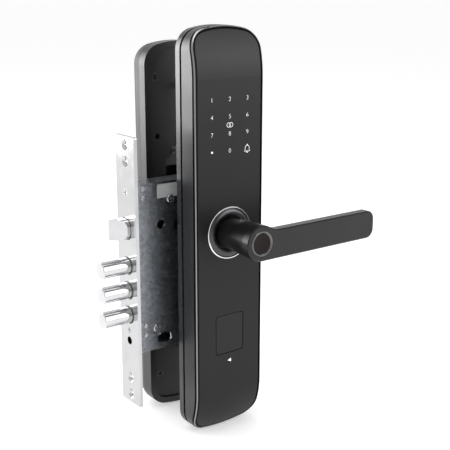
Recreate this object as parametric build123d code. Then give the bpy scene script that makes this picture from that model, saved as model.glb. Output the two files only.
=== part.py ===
from build123d import *
import math
import os

os.makedirs("parts", exist_ok=True)

# Keypad smart lock for a swing door: an outside unit, a mortise lock and an inside unit.
# Frame, in millimetres: the origin is on the spindle axis, in the plane of the door's outside face.
# +Z is up, -Y points out of the door to the visitor, +Y into the room, -X to the door's free edge.

# ---- driving dimensions -------------------------------------------------------------------------
door = 48.0                # door thickness between the two units
backset = 71.4             # spindle axis to the outer face of the forend
panel_width = 71.0
outside_top = 173.0        # top of the outside unit above the spindle
outside_bottom = -184.0
inside_top = 157.5         # the inside unit hangs a little lower
inside_bottom = -183.0
corner_radius = 18.0       # corners of the units' outline
arch_radius = 100.0        # gentle arch of both ends of the outline

plate_front = -6.0         # outside unit, front faces of its layers from the door outwards
seal_front = -8.5
housing_front = -23.6
gasket_front = -25.2
face_front = -26.8
roll_top = 10.6            # the front rolls back towards the door by this much at the top end
roll_bottom = 14.0         # and by this much at the bottom end
roll_length = 42.0

inside_back = door + 28.0  # room side of the inside unit
inside_round = 16.0        # rounding of its room-side edges
skin = 2.2                 # wall of the sliding battery cover
slide_gap = 0.2            # clearance under the battery cover

neck_radius = 13.5
lever_front = 44.4         # lever's outer face, from the face of its unit
lever_thick = 10.6
lever_length = 128.2
lever_top = 9.7
lever_head = 15.2          # radius of the round end over the spindle
spindle_side = 8.0
lever_turn = 45.0          # degrees

forend_width = 30.0
forend_length = 240.0
forend_thick = 3.0
forend_top = 83.6
case_thick = 18.0
case_wall = 1.5
case_top = 42.5
case_bottom = -108.2
case_right = 30.0
bolt_radius = 7.2
bolt_throw = 27.0
bolt_heights = (-28.8, -51.1, -73.4)
latch_throw = 14.0
latch_centre = 3.8
latch_height = 18.0

key_z = -91.6              # centre of the key cover and of the key cylinder
cover_width = 29.0
cover_height = 35.1
post_heights = (119.0, -128.0)
thumb_z = -62.0

mid = door / 2
forend_x = -backset
case_left = forend_x + forend_thick
case_front = mid - case_thick / 2
case_back = mid + case_thick / 2
half_turn = math.radians(lever_turn / 2)
pull_latch = latch_throw / (2 * math.sin(half_turn))
pull_bolts = bolt_throw / (2 * math.sin(half_turn))


# ---- helpers ------------------------------------------------------------------------------------
def save(node, *solids):
    """Writes one named node; several solids in one node stay separate."""
    shape = solids[0] if len(solids) == 1 else Compound(children=list(solids))
    export_step(shape, f"parts/{node}.step")


def slab(face, y_a, y_b):
    """A flat outline in X and Z, as thick as the stretch between two Y values."""
    back = max(y_a, y_b)
    return extrude(Plane.XZ.offset(-back) * face, amount=abs(y_b - y_a))


def box(x0, x1, y0, y1, z0, z1):
    centre = Pos((x0 + x1) / 2, (y0 + y1) / 2, (z0 + z1) / 2)
    return centre * Box(abs(x1 - x0), abs(y1 - y0), abs(z1 - z0))


def rod_y(x, z, radius, y_a, y_b):
    """A round bar along Y."""
    return slab(Pos(x, z) * Circle(radius), y_a, y_b)


def rod_x(y, z, radius, x_a, x_b):
    """A round bar along X."""
    low = min(x_a, x_b)
    return extrude(Plane.YZ.offset(low) * Pos(y, z) * Circle(radius), amount=abs(x_b - x_a))


def turned(points, y_axis_x=0.0, y_axis_z=0.0):
    """A ring turned about an axis along Y, from (radius, y) corners."""
    ring = revolve(Plane.XY * make_face(Polyline(*points, close=True)), Axis.Y)
    return Pos(y_axis_x, 0, y_axis_z) * ring


def panel_outline(top, bottom, inset=0.0):
    """The units' outline: straight sides, round corners and a gentle arch at both ends."""
    hub = arch_radius - corner_radius
    corner_x = panel_width / 2 - corner_radius
    rise = math.sqrt(hub**2 - corner_x**2)
    turn = math.atan2(rise, corner_x)
    radius = corner_radius - inset
    side = panel_width / 2 - inset

    def end(tip, sign):
        corner_z = tip - sign * (arch_radius - rise)
        half = (corner_x + radius * math.cos(turn / 2), corner_z + sign * radius * math.sin(turn / 2))
        full = (corner_x + radius * math.cos(turn), corner_z + sign * radius * math.sin(turn))
        return (side, corner_z), half, full, (0, tip - sign * inset)

    s1, h1, f1, t1 = end(top, 1)
    s2, h2, f2, t2 = end(bottom, -1)

    def left(p):
        return (-p[0], p[1])

    edges = Line(s2, s1) + ThreePointArc(s1, h1, f1) + ThreePointArc(f1, t1, left(f1))
    edges += ThreePointArc(left(f1), left(h1), left(s1)) + Line(left(s1), left(s2))
    edges += ThreePointArc(left(s2), left(h2), left(f2)) + ThreePointArc(left(f2), t2, f2)
    edges += ThreePointArc(f2, h2, s2)
    return make_face(edges)


def roll(y_flat, start, sign, drop):
    """One rolled-back end of the front, as a side view: its two far points and the arc between."""
    bend = (roll_length**2 + drop**2) / (2 * drop)
    reach = roll_length + 2
    half = math.asin(reach / bend) / 2
    halfway = (y_flat + bend * (1 - math.cos(half)), start + sign * bend * math.sin(half))
    end = (y_flat + bend - math.sqrt(bend**2 - reach**2), start + sign * reach)
    return end, ThreePointArc((y_flat, start), halfway, end)


def behind_roll(y_flat):
    """Everything on the door's side of a front surface that rolls back at both ends."""
    high = outside_top - roll_length
    low = outside_bottom + roll_length
    top, top_arc = roll(y_flat, high, 1, roll_top)
    bottom, bottom_arc = roll(y_flat, low, -1, roll_bottom)
    far = 60.0
    edges = Line((y_flat, low), (y_flat, high)) + top_arc + bottom_arc
    edges += Polyline(top, (far, top[1]), (far, bottom[1]), bottom)
    return extrude(Plane.YZ * make_face(edges), amount=60, both=True)


def rolled(inset, y_back, y_front):
    """A layer of the outside unit between two rolled-back surfaces."""
    block = slab(outside_outline(inset), y_back + roll_bottom + 1, y_front)
    return (block & behind_roll(y_front)) - behind_roll(y_back)


def front_rim(solid):
    """The outer edges of the front faces of a rolled layer."""
    fronts = [f for f in solid.faces() if f.normal_at().Y < -0.9]
    edges = ShapeList([e for f in fronts for e in f.edges()])
    return edges.filter_by(Axis.X, reverse=True)


def rounded(width, height, radius, x=0.0, z=0.0):
    return Pos(x, z) * RectangleRounded(width, height, radius)


def phillips(x, y_top, z, radius, depth):
    """The cross recess of a screw head that faces -Y."""
    blade = radius * 0.28
    cross = Rectangle(radius * 1.1, blade) + Rectangle(blade, radius * 1.1)
    return slab(Pos(x, z) * (Rot(0, 0, 20) * cross), y_top, y_top + depth)


def outside_outline(inset=0.0):
    return panel_outline(outside_top, outside_bottom, inset)


def inside_outline(inset=0.0):
    return panel_outline(inside_top, inside_bottom, inset)


# ---- outside unit -------------------------------------------------------------------------------
def outside_back_plate():
    """Cast flange against the door, with holes for the spindle, the posts, the cable and the key blade."""
    plate = slab(outside_outline(), 0, plate_front)
    plate -= rod_y(0, 0, 9, 0, plate_front)
    plate -= rod_y(0, key_z, 10, 0, plate_front)
    plate -= slab(rounded(14, 9, 3, 0, 60), 0, plate_front)
    for z in post_heights:
        plate -= rod_y(0, z, 4.3, 0, plate_front)
    return plate


def outside_seal():
    """Rubber strip between the flange and the housing."""
    ring = slab(outside_outline(2.4), plate_front, seal_front)
    return ring - slab(outside_outline(7), plate_front, seal_front)


def outside_housing():
    """Die-cast shell, open towards the door."""
    shell = slab(outside_outline(), seal_front, housing_front) & behind_roll(housing_front)
    hollow = slab(outside_outline(3), seal_front, housing_front + 3.5)
    hollow &= box(-60, 60, 0, -60, outside_bottom + 16, outside_top - 8)
    shell -= hollow & behind_roll(housing_front + 3.5)
    shell -= rod_y(0, 0, 15.4, seal_front, housing_front)
    shell -= slab(rounded(36.4, 42.4, 3, 0, key_z), seal_front, housing_front)
    shell -= slab(rounded(10, 6, 2, 0, 50), seal_front, housing_front)
    for z in post_heights:
        shell += rod_y(0, z, 8, seal_front, housing_front + 3)
        shell -= rod_y(0, z, 6.7, seal_front, seal_front - 3)
    return shell


def face_gasket():
    """Black strip that carries the rim and the face plate."""
    ring = rolled(1.0, housing_front, gasket_front)
    return ring - rolled(6.0, housing_front, gasket_front)


def face_rim():
    """Polished rim with a bevelled edge around the face plate."""
    rim = rolled(0.3, gasket_front, face_front)
    rim = chamfer(front_rim(rim), 0.8)
    return rim - slab(outside_outline(2.0), 0, face_front - 1)


def face_plate():
    """Dark tempered sheet behind which the keypad lights up."""
    sheet = rolled(2.7, gasket_front, face_front)
    sheet = chamfer(front_rim(sheet), 0.5)
    sheet -= rod_y(0, 0, 23.1, gasket_front + 1, face_front - 1)
    opening = rounded(cover_width + 1.0, cover_height + 0.8, 2.8, 0, key_z)
    return sheet - slab(opening, gasket_front + 1, face_front - 1)


def touch_board():
    """Circuit board with the touch pads, close behind the face plate."""
    board = slab(rounded(54, 92, 3, 0, 86), housing_front, housing_front - 1.4)
    for x in (-23, 23):
        for z in (44, 128):
            board -= rod_y(x, z, 1.6, housing_front, housing_front - 1.4)
    return board


def control_board():
    """Main board of the outside unit, inside the housing."""
    board = slab(rounded(52, 54, 2, 0, 84), -11.0, -12.6)
    board -= slab(rounded(14, 12, 2, 0, 60), -11.0, -12.6)
    chips = [box(-20, -8, -12.6, -14.4, 92, 104), box(4, 18, -12.6, -14.0, 96, 106)]
    chips += [box(-18, -10, -12.6, -15.6, 72, 80), box(8, 20, -12.6, -16.6, 74, 84)]
    for chip in chips:
        board += chip
    return board


def rose():
    """Rounded ring around the lever's neck."""
    crest = ThreePointArc((21.6, face_front + 0.2), (18.6, face_front - 1.5), (15.0, face_front - 0.6))
    foot = Polyline((15.0, face_front - 0.6), (15.0, housing_front), (21.6, housing_front),
                    (21.6, face_front + 0.2))
    return revolve(make_face(crest + foot), Axis.Y)


def rose_ring():
    """Bright wire ring between the rose and the face plate."""
    inner, outer = 21.6, 22.9
    top = face_front - 0.8
    corners = [(inner, housing_front), (outer, housing_front), (outer, top + 0.4), (outer - 0.4, top)]
    corners += [(inner + 0.3, top), (inner, top + 0.3)]
    return turned(corners)


def bearing(y_a, y_b, flange_y, flange_side):
    """Plain bush that the lever's neck turns in, with a flange at one end."""
    bush = rod_y(0, 0, 15.2, y_a, y_b) + rod_y(0, 0, 15.9, flange_y, flange_y + flange_side)
    return bush - rod_y(0, 0, neck_radius + 0.05, y_a, y_b) - rod_y(
        0, 0, neck_radius + 0.05, flange_y, flange_y + flange_side)


def lever(face_y, side, neck_end):
    """Lever handle: round head, flat bar and neck, cast in one piece. side is -1 outside, +1 inside."""
    front = face_y + side * lever_front
    back = front - side * lever_thick
    head = Circle(lever_head)
    bar_centre = (lever_top - lever_head) / 2
    height = lever_top + lever_head
    bar = Pos(lever_length / 2, bar_centre) * Rectangle(lever_length, height)
    bar = fillet(bar.vertices().sort_by(Axis.X)[-2:], 8)
    outline = head + bar
    root = [v for v in outline.vertices() if 5 < v.X < 20 and v.Y > 0]
    outline = fillet(root, 22)
    body = slab(outline, front, back)
    near = body.faces().sort_by(Axis.Y)[0 if side < 0 else -1]
    body = chamfer(near.edges(), 0.9)
    far = body.faces().sort_by(Axis.Y)[-1 if side < 0 else 0]
    body = fillet(far.edges(), 2.5)
    root_y = face_y + side * 4
    taper = [(0, root_y), (neck_radius, root_y), (lever_head - 0.1, back + side * 2.6), (0, back + side * 2.6)]
    return body + turned(taper) + rod_y(0, 0, neck_radius, root_y, neck_end)


def outside_lever():
    """Outside lever with the sensor pocket in its head and a cable way down its neck."""
    front = face_front - lever_front
    grip = lever(face_front, -1, -14.0)
    grip -= rod_y(0, 0, 10.9, front, front + 1.6)
    grip -= rod_y(0, 0, 9.4, front, front + 6)
    grip -= rod_y(0, 0, 3, front, -13)
    groove = turned([(12.0, -15.4), (14, -15.4), (14, -16.6), (12.0, -16.6)])
    return grip - groove + (rod_y(0, 0, 4, -14.2, -11) - rod_y(0, 0, 3, -14.2, -11))


def sensor_ring():
    front = face_front - lever_front
    ring = turned([(8.7, front + 1.6), (10.9, front + 1.6), (10.9, front + 0.3), (10.5, front - 0.3),
                   (9.6, front - 0.3), (8.7, front + 0.5)])
    return ring


def fingerprint_sensor():
    """Round fingerprint sensor, a shallow dish for the fingertip."""
    front = face_front - lever_front
    dish = rod_y(0, 0, 8.6, front + 0.7, front + 3)
    ball = Pos(0, front + 0.7 - 58.0, 0) * Sphere(58.5)
    return dish - ball


def sensor_board():
    front = face_front - lever_front
    return rod_y(0, 0, 8.8, front + 3.0, front + 4.6) + box(-4, 4, front + 4.6, front + 5.8, -3, 3)


def circlip(y_a, y_b):
    """Retaining ring in the neck's groove, open at the bottom."""
    ring = rod_y(0, 0, 16.5, y_a, y_b) - rod_y(0, 0, 12.1, y_a, y_b)
    return ring - box(-3, 3, min(y_a, y_b), max(y_a, y_b), -20, 0)


def clutch_module():
    """Clutch drum behind the outside lever, with its small geared motor on top."""
    drum = rod_y(0, 0, 17, -13.6, -6.2)
    drum -= rod_y(0, 0, 4.05, -13.6, -10.6)
    drum -= rod_y(0, 0, 5.9, -9.6, -6.2)
    drum += box(-6, 6, -13.4, -7, 15, 20)
    motor = extrude(Plane.XY.offset(20) * Pos(0, -11) * Circle(3.9), amount=17)
    return drum + motor + extrude(Plane.XY.offset(37) * Pos(0, -11) * Circle(1.5), amount=1.5)


def key_well():
    """Plastic well behind the key cover, with the eyes of its hinge pin."""
    well = slab(rounded(36, 42, 2.9, 0, key_z), gasket_front, -12)
    well -= slab(rounded(30.8, 37.4, 2.5, 0, key_z), gasket_front, -14)
    well -= rod_y(0, key_z, 9.85, -14, -12)
    return well - key_pin_bore(0.6, 19.6)


flap_pin_x = -10.0
flap_pin_y = gasket_front + 0.7


def key_pin_bore(radius, half_length):
    pin = Circle(radius)
    plane = Plane.XY.offset(key_z - half_length)
    return extrude(plane * Pos(flap_pin_x, flap_pin_y) * pin, amount=2 * half_length)


def key_cover():
    """Flush flap over the keyhole; pressing its left edge swings the right edge out."""
    flap = slab(rounded(cover_width, cover_height, 2.5, 0, key_z), gasket_front + 0.4, face_front)
    front = flap.faces().sort_by(Axis.Y)[0]
    flap = fillet(front.edges(), 0.5)
    flap += key_pin_bore(1.35, 15.5)
    return flap - key_pin_bore(0.62, 20)


def cylinder_body():
    """Key cylinder's fixed barrel."""
    barrel = rod_y(0, key_z, 9.8, -15.2, -2.0)
    barrel = chamfer(barrel.edges().filter_by(GeomType.CIRCLE).sort_by(Axis.Y)[0], 0.6)
    barrel += box(-4, 4, -11.8, plate_front - 0.2, key_z - 15, key_z - 7)
    return barrel - rod_y(0, key_z, 6.25, -15.2, -2.0)


def cylinder_plug():
    """Plug that the key turns, with its keyway."""
    plug = rod_y(0, key_z, 6.2, -15.4, -2.2)
    keyway = box(-0.8, 0.8, -15.4, -5, key_z - 4.4, key_z + 4.2) + box(-0.8, 1.7, -15.4, -5, key_z - 1, key_z + 1)
    return plug - keyway


def key_tail():
    """Flat blade from the plug into the mortise lock, with a cam at its end."""
    blade = box(-1.0, 1.0, -2.2, 27, key_z - 3.2, key_z + 3.2)
    return blade + rod_y(0, key_z, 5.6, 20, 27) + box(-2.4, 2.4, 20, 27, key_z, key_z + 9)


def fixing_posts():
    """Threaded posts that the through bolts screw into."""
    posts = []
    for z in post_heights:
        post = rod_y(0, z, 6.5, -8.3, plate_front) + rod_y(0, z, 4, plate_front, 20)
        posts.append(post - rod_y(0, z, 2.5, -2, 20))
    return posts


def through_bolts():
    """Machine screws from the inside mounting plate into the posts."""
    bolts = []
    for z in post_heights:
        bolt = rod_y(0, z, 2.5, 6, plate_back) + rod_y(0, z, 4.6, plate_back, plate_back + 3)
        bolts.append(bolt - rod_y(0, z, 1.8, plate_back + 1, plate_back + 3))
    return bolts


def coil(radius, wire, pitch, turns):
    """A plain coil spring along its own Z, from its first turn up."""
    path = Helix(pitch=pitch, height=pitch * turns, radius=radius)
    start = Plane(origin=path @ 0, z_dir=path % 0)
    return sweep(start * Circle(wire), path=path)


def neck_spring(y_base, direction):
    """Torsion spring round the lever's neck."""
    spring = coil(17.4, 0.5, 1.25, 3.5)
    return Pos(0, y_base, 0) * (Rot(90 if direction < 0 else -90, 0, 0) * spring)


# ---- mortise lock -------------------------------------------------------------------------------
cover_screws = ((-33.0, 26.7), (-49.3, -87.8), (24.0, 34.4), (22.0, -69.6))
rivet_points = ((-60.0, 38.4), (-60.0, 30.5), (-59.7, -83.7), (-59.7, -92.5))
forend_screw_heights = (76.0, 62.0, -132.5, -148.0)
forend_fixing_heights = (35.3, -87.7)
open_hole = -97.5            # plain hole in the forend below the last bolt
front_inside = case_front + case_wall
back_inside = case_back - case_wall


def latch_section(grow=0.0):
    """D-shaped section of the latch: flat towards the room, round towards the outside."""
    low = latch_centre - latch_height / 2 - grow
    height = latch_height + 2 * grow
    near = mid - 6.8 - grow
    far = mid + 6.8 + grow
    block = Pos((near + far) / 2, low + height / 2) * Rectangle(far - near, height)
    near_corners = block.vertices().sort_by(Axis.X)[:2]
    block = fillet(near_corners, 6.6)
    return fillet(block.vertices().sort_by(Axis.X)[-2:], 2.5)


def along_x(face, x_a, x_b):
    return extrude(Plane.YZ.offset(min(x_a, x_b)) * face, amount=abs(x_b - x_a))


def forend():
    """Polished stainless face plate with countersunk screw holes."""
    plate = box(forend_x, case_left, mid - forend_width / 2, mid + forend_width / 2,
                forend_top - forend_length, forend_top)
    plate = fillet(plate.edges().filter_by(Axis.X), 1.2)
    outer = plate.faces().sort_by(Axis.X)[0]
    plate = chamfer(outer.edges(), 0.4)
    for z in forend_screw_heights:
        plate -= rod_x(mid, z, 2.6, forend_x, case_left)
        plate -= Pos(forend_x, mid, z) * (Rot(0, 90, 0) * Pos(0, 0, 1) * Cone(4.6, 2.6, 2))
    for z in forend_fixing_heights:
        plate -= rod_x(mid, z, 1.6, forend_x, case_left)
        plate -= Pos(forend_x, mid, z) * (Rot(0, 90, 0) * Pos(0, 0, 0.9) * Cone(3.4, 1.6, 1.8))
    plate -= rod_x(mid, open_hole, 3.6, forend_x, case_left)
    plate -= along_x(latch_section(0.5), forend_x, case_left)
    for z in bolt_heights:
        plate -= rod_x(mid, z, bolt_radius + 0.6, forend_x, case_left)
    return plate


def case_tray():
    """Pressed steel tray of the mortise case, open towards the outside of the door."""
    tray = box(case_left, case_right, case_front, case_back, case_bottom, case_top)
    tray -= box(case_left + 2, case_right - case_wall, case_front, back_inside, case_bottom + case_wall,
                case_top - case_wall)
    tray -= rod_y(0, 0, 8.05, back_inside, case_back)
    tray -= rod_y(0, key_z, 6, back_inside, case_back)
    tray -= rod_y(0, thumb_z, 5.05, back_inside, case_back)
    tray -= side_openings(back_inside, case_back)
    tray -= along_x(latch_section(0.4), case_left, case_left + 2)
    for z in bolt_heights:
        tray -= rod_x(mid, z, bolt_radius + 0.3, case_left, case_left + 2)
    for z in forend_fixing_heights:
        tray -= rod_x(mid, z, 1.6, case_left, case_left + 2)
    tray -= rod_x(mid, open_hole, 3.6, case_left, case_left + 2)
    for x, z in cover_screws:
        tray += rod_y(x, z, 3.5, front_inside, back_inside) - rod_y(x, z, 1.6, front_inside, front_inside + 8)
    return tray + box(-29, -27.5, front_inside + 0.2, mid - 2.3, 11, case_top - case_wall)


def side_openings(y_a, y_b):
    """Fixing holes and the slot that go through both sides of the case."""
    holes = rod_y(-42.5, 5.2, 4.1, y_a, y_b) + rod_y(-25.0, 3.1, 5.0, y_a, y_b)
    return holes + slab(Pos(-40.8, -98.8) * SlotOverall(15.6, 9.2), y_a, y_b)


def case_cover():
    """Steel side plate over the tray, held by screws and rivets."""
    gap = 0.1
    plate = box(case_left + 2 + gap, case_right - case_wall - gap, case_front, front_inside,
                case_bottom + case_wall + gap, case_top - case_wall - gap)
    plate -= rod_y(0, 0, 8.05, case_front, front_inside)
    plate -= rod_y(0, key_z, 6, case_front, front_inside)
    plate -= side_openings(case_front, front_inside)
    for x, z in cover_screws:
        plate -= rod_y(x, z, 1.6, case_front, front_inside)
    for x, z in rivet_points:
        plate -= rod_y(x, z, 1.5, case_front, front_inside)
    return plate


def case_screws():
    """Cross-head screws that hold the side plate."""
    screws = []
    for x, z in cover_screws:
        head = rod_y(x, z, 3.5, case_front, case_front - 1.5)
        head = fillet(head.edges().filter_by(GeomType.CIRCLE).sort_by(Axis.Y)[0], 1.0)
        shank = rod_y(x, z, 1.6, case_front, front_inside + 7)
        screws.append(head + shank - phillips(x, case_front - 1.5, z, 3.5, 1.1))
    return screws


def case_rivets():
    """Rivets through the side plate into the forend blocks."""
    rivets = []
    for x, z in rivet_points:
        head = rod_y(x, z, 2.2, case_front, case_front - 0.7)
        head = fillet(head.edges().filter_by(GeomType.CIRCLE).sort_by(Axis.Y)[0], 0.5)
        rivets.append(head + rod_y(x, z, 1.5, case_front, mid - 4))
    return rivets


def forend_blocks():
    """Threaded blocks inside the case that the forend screws pull against."""
    blocks = []
    for low, high in ((27.4, case_top - case_wall), (-96.3, -80.8)):
        block = box(case_left + 2, -55, front_inside, 30, low, high)
        for z in forend_fixing_heights:
            block -= rod_x(mid, z, 1.6, case_left + 2, -55)
        for x, z in rivet_points:
            block -= rod_y(x, z, 1.5, front_inside, mid - 4)
        blocks.append(block - rod_x(mid, open_hole, 3.6, case_left + 2, -55))
    return blocks


def forend_screws():
    """Countersunk screws between the forend and the case."""
    screws = []
    for z in forend_fixing_heights:
        head = Pos(forend_x, mid, z) * (Rot(0, 90, 0) * Pos(0, 0, 0.9) * Cone(3.4, 1.6, 1.8))
        screw = head + rod_x(mid, z, 1.6, forend_x + 1.8, -57)
        slot = box(forend_x, forend_x + 0.8, mid - 2.4, mid + 2.4, z - 0.35, z + 0.35)
        cross = box(forend_x, forend_x + 0.8, mid - 0.35, mid + 0.35, z - 2.4, z + 2.4)
        screws.append(screw - slot - cross)
    return screws


def case_label():
    """Blank paper label on the side plate."""
    label = box(-46, -12, case_front, case_front - 0.15, 28.4, 40.4)
    return label - rod_y(-33.0, 26.7, 3.7, case_front, case_front - 0.15)


def latch_bolt():
    """Sprung latch: bevelled head, riser for the spring and tail with a slot for the follower's pin."""
    tip = forend_x - latch_throw
    head = along_x(latch_section(), tip, -58)
    bevel = Polyline((tip - 1, mid + 8), (tip, mid + 5.6), (tip + 11, mid - 7), (tip + 11, mid - 9),
                     (tip - 1, mid - 9), close=True)
    head -= extrude(Plane.XY.offset(latch_centre - 12) * make_face(bevel), amount=24)
    riser = box(-60, -58, mid - 6.8, mid + 1, 9.8, 20)
    tail = box(-60, -2.5, mid - 2, mid + 1, 9.8, 20.6)
    pin_x = -pull_latch * math.sin(half_turn)
    slot = box(pin_x - 2.3, pin_x + 2.3, mid - 2, mid + 1, 13, 20.6)
    return head + riser + tail - slot


def latch_spring():
    spring = coil(2.1, 0.35, 2.2, 12.7)
    return Pos(-58 + 0.5, mid - 4.6, 15) * (Rot(0, 90, 0) * spring)


def deadbolt(z):
    """Hardened round bolt."""
    bolt = rod_x(mid, z, bolt_radius, forend_x - bolt_throw, -50)
    end = bolt.edges().filter_by(GeomType.CIRCLE).sort_by(Axis.X)[0]
    return chamfer(end, 0.8)


def bolt_carriage():
    """Plate that moves the three bolts together, pulled by the follower's upper pin."""
    foot = box(-50, -44, mid - 5, back_inside - 0.3, bolt_heights[2] - 5, bolt_heights[0] + 5)
    pin_x = -pull_bolts * math.sin(half_turn)
    link = [(-44, -34), (-44, -24), (-38.2, -24), (-38.2, 21.9), (-28.5, 21.9), (-28.5, 40.2), (-9, 40.2),
            (-9, 30.6), (-25, 30.6), (-25, 18), (-35.7, 18), (-35.7, -34)]
    arm = slab(make_face(Polyline(*link, close=True)), back_inside - 2.7, back_inside - 0.3)
    slot = box(pin_x - 2.5, pin_x + 2.5, back_inside - 2.7, back_inside - 0.3, 28, 38.0)
    return foot + arm - slot


def stop_pin():
    """Upright pin beside the lower slot."""
    return extrude(Plane.XY.offset(case_bottom + case_wall) * Pos(-32.2, front_inside + 1.7) * Circle(0.9), amount=16)


def follower():
    """Hub on the spindle, with an arm whose pins pull the latch and the bolts."""
    hub = rod_y(0, 0, 8.0, case_front, case_back)
    hub += rod_y(0, 0, 9.5, front_inside + 0.3, back_inside - 3.2)
    arm_y0 = mid + 1.4
    arm_y1 = back_inside - 3.2
    reach = pull_bolts + 3.3
    arm = slab(Pos(0, reach / 2) * Rectangle(7, reach), arm_y0, arm_y1)
    arm += rod_y(0, pull_latch, 2.0, mid - 2.2, arm_y0)
    arm += rod_y(0, pull_bolts, 2.2, arm_y1, back_inside - 0.4)
    arm = Rot(0, -lever_turn / 2, 0) * arm
    bore = slab(Rectangle(spindle_side, spindle_side), case_front, case_back)
    return hub + arm - bore


def spindle():
    """Square bar from the clutch through the follower to the inside lever."""
    return slab(Rectangle(spindle_side, spindle_side), -9.4, inside_back + lever_front - 10)


# ---- inside unit --------------------------------------------------------------------------------
plate_face = door + 2.0        # mounting plate, set back from the rim of the shell
plate_back = door + 4.0
cover_low_y = door + 9.0       # parting line of the battery cover
cover_low_z = 38.0
plate_screw_points = ((-24.0, 127.0), (24.0, 127.0), (-24.0, -150.0), (24.0, -150.0))
cell_heights = (54.5, 69.5, 84.5, 99.5)


def inside_solid(inset, y_front):
    """The inside unit's full shape, with its rounded room side."""
    solid = slab(inside_outline(inset), y_front, inside_back - inset)
    back = solid.faces().sort_by(Axis.Y)[-1]
    return fillet(back.edges(), inside_round - inset)


def plate_outline(inset):
    """Outline of the mounting plate's seat, which steps in at the two upper corners."""
    face = inside_outline(inset)
    band = face - inside_outline(inset + 5)
    for x in (-1, 1):
        corner = Pos(x * 29, inside_top - 10) * Rectangle(18.8 + 2 * inset, 15.8 + 2 * inset)
        face -= band & corner
    return face


def inside_housing():
    """Shell of the inside unit. The battery cover slides over its upper part."""
    shell = inside_solid(0, door)
    under = inside_solid(skin + slide_gap, door)
    zone = box(-60, 60, cover_low_y, 140, cover_low_z, 200)
    shell = (shell - zone) + (under & zone)
    cavity = inside_solid(skin + slide_gap + 2.2, door + 4.4)
    shell -= cavity
    shell -= slab(plate_outline(5.6), door, door + 4.4)
    shell -= slab(rounded(60.6, 65, 2, 0, 77), door + 10, inside_back)
    shell -= rod_y(0, 0, 15.4, door + 10, inside_back)
    shell -= rod_y(0, thumb_z, 4.05, door + 10, inside_back)
    for x, z in plate_screw_points:
        post = rod_y(x, z, 4.4, plate_back, inside_back) & inside_solid(skin + 1.5, door)
        shell += post - rod_y(x, z, 1.5, plate_back, door + 16)
    return shell


def battery_cover():
    """Cover over the battery compartment; it slides up off the unit."""
    zone = box(-60, 60, cover_low_y + 0.2, 140, cover_low_z + 0.3, 200)
    return (inside_solid(0, door) - inside_solid(skin, door - 20)) & zone


def mounting_plate():
    """Steel plate in the back of the inside unit, drawn to the door by the through bolts."""
    face = plate_outline(5.9)
    window = Polyline((-14, -36), (-14, 54), (-9.4, 54), (-4, 74), (4, 74), (9.4, 54), (14, 54), (14, -36),
                      close=True)
    face -= make_face(window)
    face -= Pos(0, key_z) * Circle(9)
    face -= Pos(0, thumb_z) * Circle(7)
    plate = slab(face, plate_face, plate_back)
    for x, z in plate_screw_points:
        plate -= rod_y(x, z, 1.5, plate_face, plate_back)
        plate -= Pos(x, plate_face + 0.9, z) * (Rot(-90, 0, 0) * Cone(3.9, 1.6, 1.8))
    for x in (-22, 22):
        for z in (75, -75):
            plate -= rod_y(x, z, 2.4, plate_face, plate_back)
            ring = [(2.4, plate_back), (4.2, plate_back), (3.6, plate_back + 2.4), (2.4, plate_back + 2.4)]
            plate += turned(ring, x, z)
    for z in post_heights:
        plate -= rod_y(0, z, 2.5, plate_face, plate_back)
    return plate


def plate_screws():
    """Countersunk screws that hold the plate in the shell."""
    screws = []
    for x, z in plate_screw_points:
        head = Pos(x, plate_face + 0.9, z) * (Rot(-90, 0, 0) * Cone(3.9, 1.6, 1.8))
        shank = rod_y(x, z, 1.5, plate_face + 1.6, door + 14)
        screws.append(head + shank - phillips(x, plate_face, z, 4.2, 0.9))
    return screws


def inside_board():
    """Power and driver board of the inside unit."""
    board = slab(rounded(50, 50, 2, 0, 85), door + 7.2, door + 8.2)
    return board + box(-18, -6, door + 6, door + 7.2, 84, 96) + box(6, 16, door + 5.6, door + 7.2, 88, 98)


def battery_holder():
    """Plastic tray for four cells."""
    tray = box(-29.2, 29.2, door + 8.2, door + 21, 46, 108)
    tray -= box(-26.2, 26.2, door + 9.8, door + 21, 47, 107)
    for z in cell_heights:
        for x in (-27.4, 27.4):
            tray -= box(x - 0.8, x + 0.8, door + 11, door + 21, z - 5, z + 5)
    return tray


def batteries():
    """Four AA cells, laid in turn."""
    cells = []
    for i, z in enumerate(cell_heights):
        way = 1 if i % 2 else -1
        can = rod_x(door + 17.2, z, 7.1, -24.2, 24.2)
        cells.append(can + rod_x(door + 17.2, z, 2.7, way * 24.2, way * 25.6))
    return cells


def battery_contacts():
    """Plated contact springs at both ends of the cells."""
    plates = []
    for z in cell_heights:
        for x in (-27.4, 27.4):
            plates.append(box(x - 0.3, x + 0.3, door + 11, door + 20, z - 4, z + 4))
    return plates


def link_cable():
    """Flat cable between the two units, through the door above the case, with a plug at each end."""
    cable = slab(rounded(7, 2.4, 1.1, 0, 60), -9.6, plate_face + 3)
    cable += box(-5, 5, -12.4, -9.6, 56.5, 63.5)
    return cable + box(-5, 5, plate_face + 3, plate_face + 5, 56.5, 63.5)


def inside_rose():
    crest = ThreePointArc((22.4, inside_back), (19.0, inside_back + 2.0), (15.0, inside_back + 1.2))
    foot = Polyline((15.0, inside_back + 1.2), (15.0, inside_back), (22.4, inside_back))
    return revolve(make_face(crest + foot), Axis.Y)


def inside_lever():
    """Inside lever, with a square hole for the spindle."""
    grip = lever(inside_back, 1, inside_back - 12)
    reach = inside_back + lever_front - 10
    grip -= slab(Rectangle(spindle_side, spindle_side), inside_back - 12, reach)
    return grip - turned([(12.0, door + 16.6), (14, door + 16.6), (14, door + 17.8), (12.0, door + 17.8)])


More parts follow.
